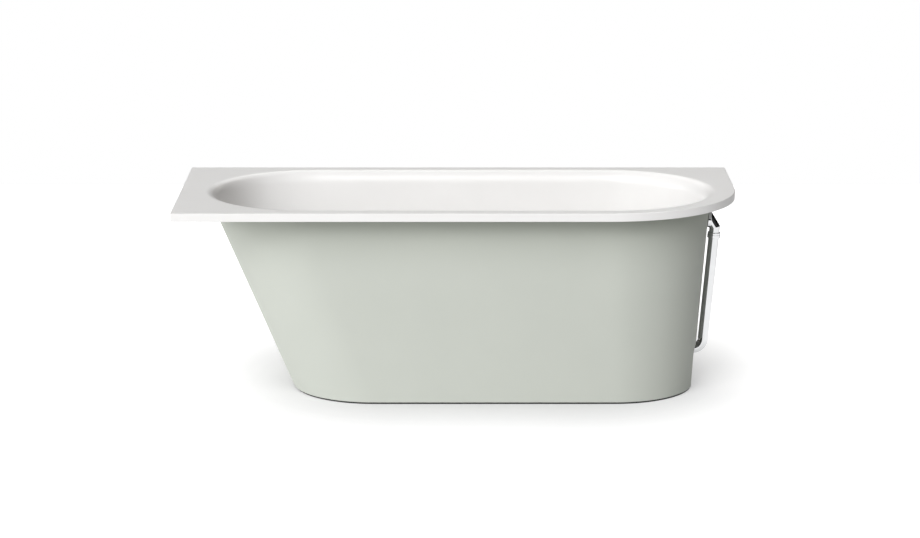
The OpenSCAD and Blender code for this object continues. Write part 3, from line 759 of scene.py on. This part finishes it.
def hex_nuts(name, z0, z1, replaces):
    parts = []
    for x, y in FEET:
        m = at(x, y)
        o = many_sided(6, 0.017, z0, z1, 0.0007, m)
        boolean(o, [cyl(STUD_R + 0.00005, z0 - 0.002, z1 + 0.002, m, 48)])
        parts.append(o)
    return dress(merge(name, parts, 25), "steel", replaces=(replaces,))


for i, (x, y) in enumerate(FEET):
    k = i + 1
    rod = threaded(STUD_R, 0.0061, STUD_TOP, 0.002, 0.0006, at(x, y), 20, 4)
    rod = merge("foot_stud_%d_steel" % k, [rod], 60)
    dress(rod, "steel", body="foot_%d" % k, replaces=("foot_stud_%d" % k,))
    pad = lathe("foot_pad_%d_rubber" % k, [(0, 0)] + fillet(
        [(0, 0), (0.028, 0), (0.028, 0.005), (0.012, 0.016), (0.0066, 0.016), (0.0066, 0.0155), (STUD_R, 0.0155), (STUD_R, 0.006), (0, 0.006)],
        [0, 0.0012, 0.0016, 0.0016, 0.0003, 0, 0, 0, 0], 5)[1:-1] + [(0, 0.006)], at(x, y), 108,
        wave=lambda t, r, z: r - 0.0005 * (0.5 + 0.5 * math.cos(27 * t)) if r > 0.0262 else r)
    dress(pad, "rubber", body="foot_%d" % k, replaces=("foot_pad_%d" % k,))

hex_nuts("weld_nuts_steel", BOARD_Z - 0.014, BOARD_Z - 0.002, "weld_nuts")
hex_nuts("jam_nuts_steel", BOARD_Z - 0.022, BOARD_Z - 0.014, "jam_nuts")
screws_up("rail_screws_steel", [(x, y) for x in RAILS for y in RAIL_SCREW_Y], BOARD_Z - 0.002, BOARD_Z + 0.013, "rail_screws")
screws_up("bracket_screws_steel", [(x + e, BATH_W / 2 - 0.023) for x in (-0.600, 0.600) for e in (-0.018, 0.018)]
          + [(-BATH_L / 2 + 0.023, e) for e in (-0.018, 0.018)], RIM_Z - 0.003, RIM_Z + 0.013, "bracket_screws")


def make_rail(name, x):
    h = 0.025
    shape = fillet([(-0.020, 0), (-0.018, 0), (-0.018, h - 0.002), (0.018, h - 0.002), (0.018, 0), (0.020, 0), (0.020, h), (-0.020, h)],
                   [0.0006, 0.0006, 0.0012, 0.0012, 0.0006, 0.0006, 0.0030, 0.0030], 6, closed=True)
    o = prism(shape, Matrix.Translation((x, -FOOT_Y - 0.035, RAIL_Z)) @ TO_Y, 2 * FOOT_Y + 0.070)
    z0, z1 = BOARD_Z - 0.004, BOARD_Z + 0.001
    boolean(o, [cyl(0.0055, z0, z1, at(x, e * FOOT_Y), 48) for e in (-1, 1)] + [cyl(0.0023, z0, z1, at(x, e), 32) for e in RAIL_SCREW_Y])
    return merge(name, [o], 25)


dress(make_rail("cross_rail_left_steel", RAILS[0]), "steel", replaces=("cross_rail_left",))
dress(make_rail("cross_rail_right_steel", RAILS[1]), "steel", replaces=("cross_rail_right",))


def make_bracket(name, matrix):
    """A folded angle: one leg under the rim, one down the wall, free corners rounded."""
    w, t, leg, drop = 0.060, 0.003, 0.040, 0.063
    shape = fillet([(0, 0), (-leg, 0), (-leg, -t), (-t, -t), (-t, -drop), (0, -drop)], [0.0042, 0.0004, 0.0004, 0.0012, 0.0004, 0.0004], 6, closed=True)
    o = prism(shape, matrix @ Matrix.Translation((-w / 2, 0, 0)) @ TO_X, w)
    r = 0.006
    nick = [(0.001, 0.001), (0.001, -r)] + [(-r + r * math.cos(a), -r + r * math.sin(a)) for a in np.linspace(0, math.pi / 2, 8)] + [(-r, 0.001)]
    tools = []
    for e in (-1, 1):
        turn = Matrix.Diagonal((e, 1, 1, 1))
        down = Matrix(((1, 0, 0, 0), (0, 0, -1, 0), (0, -1, 0, 0), (0, 0, 0, 1)))   # outline x, y -> x, -z
        tools.append(prism(nick, matrix @ turn @ Matrix.Translation((w / 2, 0.001, -drop)) @ down, t + 0.002))
        back = Matrix.Diagonal((1, -1, 1, 1))
        tools.append(prism(nick, matrix @ turn @ Matrix.Translation((w / 2, -leg, -t - 0.001)) @ back, t + 0.002))
    boolean(o, tools)
    hole = matrix @ Matrix.Translation((0, 0.001, -0.045)) @ Matrix.Rotation(math.pi / 2, 4, "X")
    boolean(o, [cyl(0.0035, 0, 0.006, hole, 40)] + [cyl(0.0023, -t - 0.001, 0.001, matrix @ Matrix.Translation((e, -0.023, 0)), 32)
                                                    for e in (-0.018, 0.018)])
    return merge(name, [o], 25)


for n, m in (("wall_bracket_back_left", at(-0.600, BATH_W / 2, RIM_Z)), ("wall_bracket_back_right", at(0.600, BATH_W / 2, RIM_Z)),
             ("wall_bracket_left_end", at(-BATH_L / 2, 0, RIM_Z, math.pi / 2))):
    dress(make_bracket(n + "_steel", m), "steel", replaces=(n,))

# ------------------------------------------------------------------ waste and trap
BODY_TOP = UNDER_Z - 0.0035
WASHER_Z, OUTLET_Z = 0.063, 0.033


def make_drain_body():
    z = BODY_TOP
    o = lathe("tool", fillet(
        [(0.020, 0.066), (0.024, 0.066), (0.024, 0.0845), (0.031, 0.092), (0.031, z - 0.004), (0.038, z - 0.004), (0.038, z), (0.0241, z), (0.0241, 0.134),
         (0.028, 0.134), (0.028, 0.093), (0.020, 0.093)],
        [0.0005, 0.0006, 0.002, 0.003, 0.0025, 0.001, 0.0006, 0.0005, 0.0004, 0.0006, 0.0015, 0.0005], 5, closed=True), AT_DRAIN, 112, closed=True)
    side = lathe("tool", [(0, 0.020)] + fillet([(0, 0.020), (0.021, 0.020), (0.021, 0.078), (0, 0.078)], [0, 0, 0.0006, 0], 4)[1:-1] + [(0, 0.078)],
                 AT_DRAIN @ Matrix.Translation((0, 0, INLET_Z)) @ ALONG_X, 96)
    boolean(o, [side], "UNION")
    # four ribs under the flange
    for k in range(4):
        rib = local_box(0.0295, 0.0365, -0.0012, 0.0012, z - 0.024, z - 0.0035, AT_DRAIN @ Matrix.Rotation(math.radians(45 + 90 * k), 4, "Z"))
        slope = AT_DRAIN @ Matrix.Rotation(math.radians(45 + 90 * k), 4, "Z") @ Matrix.Translation((0.0315, 0, z - 0.024)) @ Matrix.Rotation(math.radians(20), 4, "Y")
        boolean(rib, [local_box(0.0, 0.03, -0.01, 0.01, -0.02, 0.05, slope)])
        boolean(o, [rib], "UNION")
    boolean(o, [cyl(0.028, 0.0931, 0.1335, AT_DRAIN, 112)])
    boolean(o, [cyl(PIPE_R + 0.0002, 0.005, 0.079, AT_DRAIN @ Matrix.Translation((0, 0, INLET_Z)) @ ALONG_X, 96)])
    return merge("drain_body_plastic", [o], 34)


AT_OUTLET = AT_DRAIN @ Matrix.Translation((0, 0, OUTLET_Z)) @ Matrix.Rotation(-math.pi / 2, 4, "X")   # its z runs along +Y


def make_trap_body():
    o = lathe("tool", [(0, 0.010)] + fillet([(0, 0.010), (0.046, 0.010), (0.046, 0.052), (0, 0.052)], [0, 0.005, 0.0025, 0], 7)[1:-1] + [(0, 0.052)],
              AT_DRAIN, 128)
    out = lathe("tool", [(0, 0.030)] + fillet(
        [(0, 0.030), (0.0185, 0.030), (0.0185, 0.113), (0.024, 0.117), (0.024, 0.148), (0, 0.148)], [0, 0, 0.002, 0.002, 0.0006, 0], 5)[1:-1] + [(0, 0.148)],
        AT_OUTLET, 96)
    boolean(o, [out], "UNION")
    ring = lathe("tool", fillet([(0.0180, 0.0512), (0.0300, 0.0512), (0.0285, 0.0538), (0.0180, 0.0538)], [0, 0.0004, 0.0006, 0.0003], 4, closed=True),
                 AT_DRAIN, 112, closed=True)
    boolean(o, [ring], "UNION")
    hollow = lathe("tool", [(0, 0.013)] + fillet([(0, 0.013), (0.043, 0.013), (0.043, 0.049), (0, 0.049)], [0, 0.003, 0.002, 0], 5)[1:-1] + [(0, 0.049)],
                   AT_DRAIN, 128)
    boolean(hollow, [local_box(-0.045, 0.045, 0.027, 0.030, 0.012, 0.044, AT_DRAIN)])
    boolean(o, [hollow])
    boolean(o, [cyl(0.0197, 0.0475, 0.055, AT_DRAIN, 100)])
    boolean(o, [cyl(0.0155, 0.036, 0.119, AT_OUTLET, 96)])
    boolean(o, [cyl(0.0202, 0.118, 0.149, AT_OUTLET, 96)])
    return merge("trap_body_plastic", [o], 34)


def make_round_nut(name, flats, z0, z1, bores, matrix):
    o = many_sided(8, flats, z0, z1, 0.0022, matrix, math.pi / 8)
    grips = []
    r = flats / 2 / math.cos(math.pi / 8)
    for k in range(8):
        a = math.pi / 8 + math.pi / 4 * k
        grips.append(cyl(0.0016, z0 + 0.0035, z1 - 0.0035, matrix @ Matrix.Rotation(a, 4, "Z") @ Matrix.Translation((r - 0.0006, 0, 0)), 20))
    boolean(o, grips)
    for rad, a, b in bores:
        boolean(o, [cyl(rad, a, b, matrix, 96)])
    return merge(name, [o], 25)


dress(make_drain_body(), "plastic", replaces=("drain_body",))
dress(make_trap_body(), "plastic", body="trap", replaces=("trap_body",))
dress(make_round_nut("swivel_nut_plastic", 0.060, 0.0556, 0.078, ((0.0241, 0.0596, 0.079), (0.0201, 0.054, 0.061)), AT_DRAIN),
      "plastic", replaces=("swivel_nut",))
dress(make_round_nut("outlet_nut_plastic", 0.055, 0.132, 0.154, ((0.0241, 0.131, 0.151), (0.0205, 0.150, 0.155)), AT_OUTLET),
      "plastic", body="trap", replaces=("outlet_nut",))

inlet_nut = lathe("inlet_nut_chrome", fillet(
    [(PIPE_R + 0.0002, 0.081), (PIPE_R + 0.0002, 0.087), (0.0260, 0.087), (0.0260, 0.062), (0.0211, 0.062), (0.0211, 0.081)],
    [0, 0.0006, 0.0022, 0.0010, 0.0004, 0], 5, closed=True), AT_DRAIN @ Matrix.Translation((0, 0, INLET_Z)) @ ALONG_X, 128, closed=True,
    wave=lambda t, r, z: r - 0.0009 * max(0.0, math.cos(8 * t)) ** 2 if r > 0.0255 and 0.0655 < z < 0.0845 else r)
dress(inlet_nut, "chrome", replaces=("inlet_nut",))

# ------------------------------------------------------------------ the carried-over pieces
FINISH = {
    "chrome": ["drain_flange", "plug_stem", "rosette_screw"],
    "brass": ["overflow_spigot", "plug_cartridge"],
    "steel": ["plug_spring"],
    "plastic": ["trap_dip_tube"],
    "rubber": ["drain_gasket_upper", "drain_gasket_lower", "plug_seal", "overflow_gasket_inner", "overflow_gasket_outer", "elbow_seal",
               "inlet_seal", "trap_washer", "outlet_seal"],
    "foam": ["bond_pads"],
    "board": ["floor_board"],
}
for mat, names in FINISH.items():
    for n in names:
        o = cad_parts[n]
        o.data.materials.clear()
        o.data.materials.append(M[mat])

# ------------------------------------------------------------------ stage, lights, camera
NEAR_GLOW, FAR_GLOW = 0.080, 0.897       # the floor's own glow beside the bath and away from it: away it stays paper white, and the lower glow beside the bath is a painted shadow round the bath
MIRROR_NEAR, MIRROR_FAR = 0.42, 1.13   # the same, as the chrome sees it, so its reflection also carries the painted shadow beside the bath
MIRROR_REAR = 0.35                      # how much of that is left behind the bath
BOUNCE_LEFT, BOUNCE_RIGHT = 0.36, 0.0  # what it sends up at the bath
FLOOR_ALBEDO = 0.50


def make_floor():
    me = bpy.data.meshes.new("studio_floor")
    x0, x1, y0, y1 = -9.0, 9.0, -9.0, 3.2
    n = 12
    v = [(x0 + (x1 - x0) * i / n, y0 + (y1 - y0) * j / n, -0.0002) for j in range(n + 1) for i in range(n + 1)]
    f = [(j * (n + 1) + i, j * (n + 1) + i + 1, (j + 1) * (n + 1) + i + 1, (j + 1) * (n + 1) + i) for j in range(n) for i in range(n)]
    me.from_pydata(v, [], f)
    o = bpy.data.objects.new("studio_floor", me)
    COL.objects.link(o)
    mat = bpy.data.materials.new("studio_paper")
    mat.use_nodes = True
    nt = mat.node_tree
    nt.nodes.clear()
    out = nt.nodes.new("ShaderNodeOutputMaterial")
    add = nt.nodes.new("ShaderNodeAddShader")
    dif = nt.nodes.new("ShaderNodeBsdfDiffuse")
    dif.inputs["Color"].default_value = (FLOOR_ALBEDO, FLOOR_ALBEDO, FLOOR_ALBEDO, 1)
    emi = nt.nodes.new("ShaderNodeEmission")
    emi.inputs["Color"].default_value = (1, 1, 1, 1)
    lp = nt.nodes.new("ShaderNodeLightPath")
    tc = nt.nodes.new("ShaderNodeTexCoord")
    away = tc.outputs["Object"]
    for op, value in (("SUBTRACT", (0.079, 0.0, 0.0)), ("ABSOLUTE", None), ("SUBTRACT", (0.237, 0.01, 0.0)), ("MAXIMUM", (0.0, 0.0, 0.0))):
        m = nt.nodes.new("ShaderNodeVectorMath")
        m.operation = op
        nt.links.new(away, m.inputs[0])
        if value:
            m.inputs[1].default_value = value
        away = m.outputs[0]
    flat = nt.nodes.new("ShaderNodeVectorMath")
    flat.operation = "MULTIPLY"
    flat.inputs[1].default_value = (1.0, 1.0, 0.0)
    nt.links.new(away, flat.inputs[0])
    dist = nt.nodes.new("ShaderNodeVectorMath")
    dist.operation = "LENGTH"
    nt.links.new(flat.outputs[0], dist.inputs[0])

    def step(name, value, f0, f1, t0, t1):
        r = nt.nodes.new("ShaderNodeMapRange")
        r.name = name
        r.interpolation_type = "SMOOTHSTEP"
        r.inputs["From Min"].default_value, r.inputs["From Max"].default_value = f0, f1
        r.inputs["To Min"].default_value, r.inputs["To Max"].default_value = t0, t1
        nt.links.new(value, r.inputs["Value"])
        return r.outputs["Result"]

    def pick(name, which, no, yes):
        r = nt.nodes.new("ShaderNodeMapRange")
        r.name = name
        nt.links.new(lp.outputs[which], r.inputs["Value"])
        nt.links.new(no, r.inputs["To Min"])
        nt.links.new(yes, r.inputs["To Max"])
        return r.outputs["Result"]

    axes = nt.nodes.new("ShaderNodeSeparateXYZ")
    nt.links.new(tc.outputs["Object"], axes.inputs[0])
    # Painted shadow: the glow that camera rays see falls from FAR_GLOW to NEAR_GLOW towards the bath, drawing its
    # contact shadow on the floor.
    seen = step("seen", dist.outputs["Value"], 0.0, 0.964, NEAR_GLOW, FAR_GLOW)
    mirrored = step("mirrored", dist.outputs["Value"], 0.0, 0.964, MIRROR_NEAR, MIRROR_FAR)
    rear = step("rear", axes.outputs["Y"], 0.35, 1.1, 1.0, MIRROR_REAR)
    dimmed = nt.nodes.new("ShaderNodeMath")
    dimmed.operation = "MULTIPLY"
    nt.links.new(mirrored, dimmed.inputs[0])
    nt.links.new(rear, dimmed.inputs[1])
    mirrored = dimmed.outputs[0]
    sent = step("sent", axes.outputs["X"], -0.9, 0.9, BOUNCE_LEFT, BOUNCE_RIGHT)
    glow = pick("by_diffuse", "Is Diffuse Ray", pick("by_glossy", "Is Glossy Ray", seen, mirrored), sent)
    nt.links.new(glow, emi.inputs["Strength"])
    nt.links.new(dif.outputs[0], add.inputs[0])
    nt.links.new(emi.outputs[0], add.inputs[1])
    geo = nt.nodes.new("ShaderNodeNewGeometry")
    clear = nt.nodes.new("ShaderNodeBsdfTransparent")
    mix = nt.nodes.new("ShaderNodeMixShader")
    nt.links.new(geo.outputs["Backfacing"], mix.inputs["Fac"])
    nt.links.new(add.outputs[0], mix.inputs[1])
    nt.links.new(clear.outputs[0], mix.inputs[2])
    nt.links.new(mix.outputs[0], out.inputs["Surface"])
    o.data.materials.append(mat)
    return o


floor = make_floor()


def make_world(diffuse, front, back, top):
    """Camera rays see white, and mirrors see a room that is dim in front, dark behind and light overhead."""
    w = bpy.data.worlds.new("studio")
    SC.world = w
    w.use_nodes = True
    nt = w.node_tree
    nt.nodes.clear()
    out = nt.nodes.new("ShaderNodeOutputWorld")
    bg = nt.nodes.new("ShaderNodeBackground")
    bg.inputs["Color"].default_value = (1, 1, 1, 1)
    lp = nt.nodes.new("ShaderNodeLightPath")
    tc = nt.nodes.new("ShaderNodeTexCoord")
    axes = nt.nodes.new("ShaderNodeSeparateXYZ")
    nt.links.new(tc.outputs["Generated"], axes.inputs[0])
    room = nt.nodes.new("ShaderNodeMapRange")
    room.name = "room"
    room.interpolation_type = "SMOOTHSTEP"
    room.inputs["From Min"].default_value, room.inputs["From Max"].default_value = 0.15, -0.45
    room.inputs["To Min"].default_value, room.inputs["To Max"].default_value = back, front
    nt.links.new(axes.outputs["Y"], room.inputs["Value"])
    a = nt.nodes.new("ShaderNodeMapRange")
    a.name = "by_glossy"
    a.inputs["To Min"].default_value = diffuse
    ceiling = nt.nodes.new("ShaderNodeMapRange")
    ceiling.name = "ceiling"
    ceiling.interpolation_type = "SMOOTHSTEP"
    ceiling.inputs["From Min"].default_value, ceiling.inputs["From Max"].default_value = 0.70, 0.92
    ceiling.inputs["To Min"].default_value, ceiling.inputs["To Max"].default_value = 0.0, top
    nt.links.new(axes.outputs["Z"], ceiling.inputs["Value"])
    both = nt.nodes.new("ShaderNodeMath")
    both.operation = "ADD"
    nt.links.new(room.outputs["Result"], both.inputs[0])
    nt.links.new(ceiling.outputs["Result"], both.inputs[1])
    nt.links.new(both.outputs[0], a.inputs["To Max"])
    nt.links.new(lp.outputs["Is Glossy Ray"], a.inputs["Value"])
    b = nt.nodes.new("ShaderNodeMapRange")
    b.name = "by_camera"
    nt.links.new(a.outputs["Result"], b.inputs["To Min"])
    b.inputs["To Max"].default_value = 1.0
    nt.links.new(lp.outputs["Is Camera Ray"], b.inputs["Value"])
    nt.links.new(b.outputs["Result"], bg.inputs["Strength"])
    nt.links.new(bg.outputs[0], out.inputs["Surface"])
    return w


make_world(0.0, 0.05, 0.0, 1.1)


def area(name, where, at, size, power, colour=(1, 1, 1)):
    ld = bpy.data.lights.new(name, "AREA")
    ld.shape = "RECTANGLE"
    ld.size, ld.size_y = size
    ld.energy = power
    ld.color = colour
    o = bpy.data.objects.new(name, ld)
    o.location = where
    o.rotation_mode = "QUATERNION"
    o.rotation_quaternion = (Vector(at) - Vector(where)).to_track_quat("-Z", "Y")
    COL.objects.link(o)
    o.visible_camera = False
    return o


def around(az, el, dist=7.0):
    a, e = math.radians(az), math.radians(el)
    return (math.sin(a) * math.cos(e) * dist, -math.cos(a) * math.cos(e) * dist, 0.3 + math.sin(e) * dist)


LIGHTS = [
    ("left_low", around(-90, 12), (0, 0, 0.3), (5.0, 2.2), 180),
    ("back_soft", around(180, 40), (0, 0, 0.3), (5.0, 5.0), 103, (1.0, 0.985, 0.955)),
    ("fill_right_front", around(38, 35), (0, 0, 0.3), (5.0, 5.0), 58),
    ("back_low", around(180, 12), (0, 0, 0.3), (5.0, 2.2), 7.5),
    ("back_left_low", around(-120, 12), (0, 0, 0.3), (5.0, 2.2), 8),
    ("back_right_low", around(150, 15), (0, 0, 0.3), (5.0, 2.2), 3.3),
]
for spec in LIGHTS:
    area(*spec)


def far_light(name, az, el, power, spread=40.0):
    """A wide soft light so far off that it falls evenly from end to end."""
    ld = bpy.data.lights.new(name, "SUN")
    ld.energy = power
    ld.angle = math.radians(spread)
    o = bpy.data.objects.new(name, ld)
    o.location = around(az, el)
    o.rotation_mode = "QUATERNION"
    o.rotation_quaternion = (Vector((0, 0, 0.3)) - Vector(o.location)).to_track_quat("-Z", "Y")
    COL.objects.link(o)
    return o


for spec in (("front_left_far", -30, 25, 1.34), ("front_right_far", 28, 28, 0.30), ("front_high_far", -15, 50, 1.28), ("back_far", 180, 45, 0.267)):
    far_light(*spec)

cam_data = bpy.data.cameras.new("photo_view")
cam_data.sensor_width = 36.0
cam_data.lens = 116.7
cam_data.clip_start, cam_data.clip_end = 0.05, 200
cam = bpy.data.objects.new("photo_view", cam_data)
cam.location = (0.003, -8.989, 2.335)
cam.rotation_euler = (math.radians(90 - 12.45), 0, math.radians(-0.015))
COL.objects.link(cam)
SC.camera = cam

SC.view_settings.view_transform = "Standard"
SC.view_settings.look = "None"
SC.cycles.use_denoising = True

bpy.context.view_layer.update()
